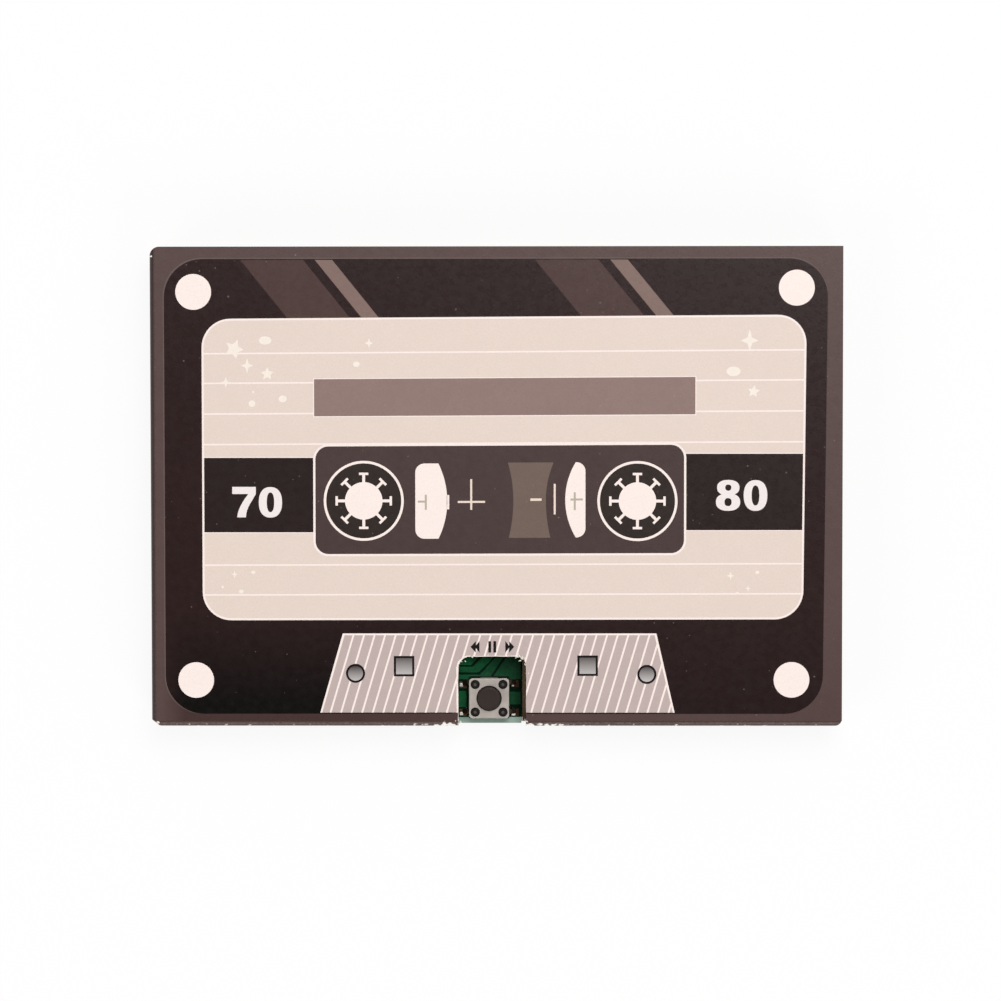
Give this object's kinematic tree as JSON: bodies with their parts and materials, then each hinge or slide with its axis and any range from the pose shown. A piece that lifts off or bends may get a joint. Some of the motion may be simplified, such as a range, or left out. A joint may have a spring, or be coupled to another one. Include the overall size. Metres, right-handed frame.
{
  "type": "recordable greeting card",
  "caption": "Small folding card with a printed tape-cassette front, a pocket that holds a sound module, and a notch over its push button.",
  "frame": {"origin": "under the middle of the closed card, on the surface that it lies on", "axes": "+X along the card's width, away from its spine; +Y towards the card's top edge; +Z out of the printed front"},
  "size_m": [0.103, 0.0716, 0.0076],
  "materials": {
    "front_print": "satin printed card stock, dark brown and cream",
    "back_print": "satin printed card stock, plain brown",
    "liner_print": "matt printed card stock, cream",
    "message_paper": "matt uncoated writing paper",
    "grey_board": "plain grey board",
    "brown_board": "plain brown board, cut edges",
    "green_laminate": "solder mask over glass laminate",
    "black_resin": "cast resin",
    "chip_black": "glazed chip body",
    "chip_tan": "matt ceramic chip",
    "capacitor_yellow": "moulded plastic",
    "lamp_red": "clear tinted plastic",
    "solder": "bright solder",
    "switch_plastic": "moulded black plastic",
    "button_plastic": "moulded dark brown-black plastic",
    "switch_steel": "tinned steel sheet",
    "spring_steel": "bright spring steel",
    "holder_plastic": "moulded black plastic",
    "contact_metal": "nickel-plated strip",
    "cell_steel": "nickel-plated steel can",
    "capsule_metal": "drawn aluminium can",
    "capsule_board": "fibre board",
    "capsule_felt": "thin black felt",
    "gasket_foam": "closed-cell foam with adhesive faces",
    "cone_film": "thin polyester film",
    "basket_metal": "zinc-plated pressed steel",
    "coil_copper": "enamelled copper wire",
    "yoke_metal": "zinc-plated steel",
    "magnet_metal": "nickel-plated magnet",
    "terminal_board": "brown fibre strip",
    "lead_red": "insulation of a thin lead",
    "lead_black": "insulation of a thin lead"
  },
  "bodies": {
    "back_leaf": {"back_cover": "back_print", "message_sheet": "message_paper"},
    "spine": {"back_crease": "back_print", "spine_strip": "back_print", "front_crease": "front_print"},
    "front_leaf": {"front_panel": "front_print", "bottom_fold_left": "front_print", "bottom_fold_right": "front_print", "inner_liner": "liner_print", "base_board": "grey_board", "spacer_frame": "brown_board", "circuit_board": "green_laminate", "sound_chip": "black_resin", "chip_resistors": "chip_black", "chip_capacitors": "chip_tan", "tantalum_capacitor": "capacitor_yellow", "record_lamp": "lamp_red", "solder_joints": "solder", "play_switch_body": "switch_plastic", "play_switch_plate": "switch_steel", "play_switch_dome": "spring_steel", "play_switch_legs": "switch_steel", "record_switch_body": "switch_plastic", "record_switch_plate": "switch_steel", "record_switch_dome": "spring_steel", "battery_holder": "holder_plastic", "battery_contact_positive": "contact_metal", "battery_contact_negative": "contact_metal", "battery_link_bottom": "contact_metal", "battery_link_top": "contact_metal", "button_cell_1": "cell_steel", "button_cell_2": "cell_steel", "button_cell_3": "cell_steel", "microphone_can": "capsule_metal", "microphone_board": "capsule_board", "microphone_felt": "capsule_felt", "speaker_gasket": "gasket_foam", "speaker_diaphragm": "cone_film", "speaker_basket": "basket_metal", "voice_coil": "coil_copper", "speaker_yoke": "yoke_metal", "speaker_magnet": "magnet_metal", "speaker_pole_plate": "yoke_metal", "speaker_terminals": "terminal_board", "speaker_lead_black": "lead_black", "speaker_lead_red": "lead_red", "microphone_lead_black": "lead_black", "microphone_lead_red": "lead_red"},
    "play_button": {"play_button": "button_plastic"},
    "record_button": {"record_button": "button_plastic"}
  },
  "joints": [
    {"name": "spine_fold", "type": "hinge", "parent": "back_leaf", "child": "spine", "pos_m": [-0.05117, 0, 0.00033], "axis": [0, -1, 0], "range_deg": [0, 90], "deforming": ["back_crease"]},
    {"name": "cover_fold", "type": "hinge", "parent": "spine", "child": "front_leaf", "pos_m": [-0.05117, 0, 0.00727], "axis": [0, -1, 0], "range_deg": [0, 90], "deforming": ["front_crease"]},
    {"name": "play_press", "type": "slide", "parent": "front_leaf", "child": "play_button", "axis": [0, 0, -1], "range_m": [0, 0.00025], "stiffness_N_per_m": 6400, "deforming": ["play_switch_dome"]},
    {"name": "record_press", "type": "slide", "parent": "front_leaf", "child": "record_button", "axis": [0, 0, 1], "range_m": [0, 0.00015], "stiffness_N_per_m": 10000, "deforming": ["record_switch_dome"]}
  ],
  "couplings": [
    {"joint": "spine_fold", "follows": "cover_fold", "ratio": 1}
  ]
}
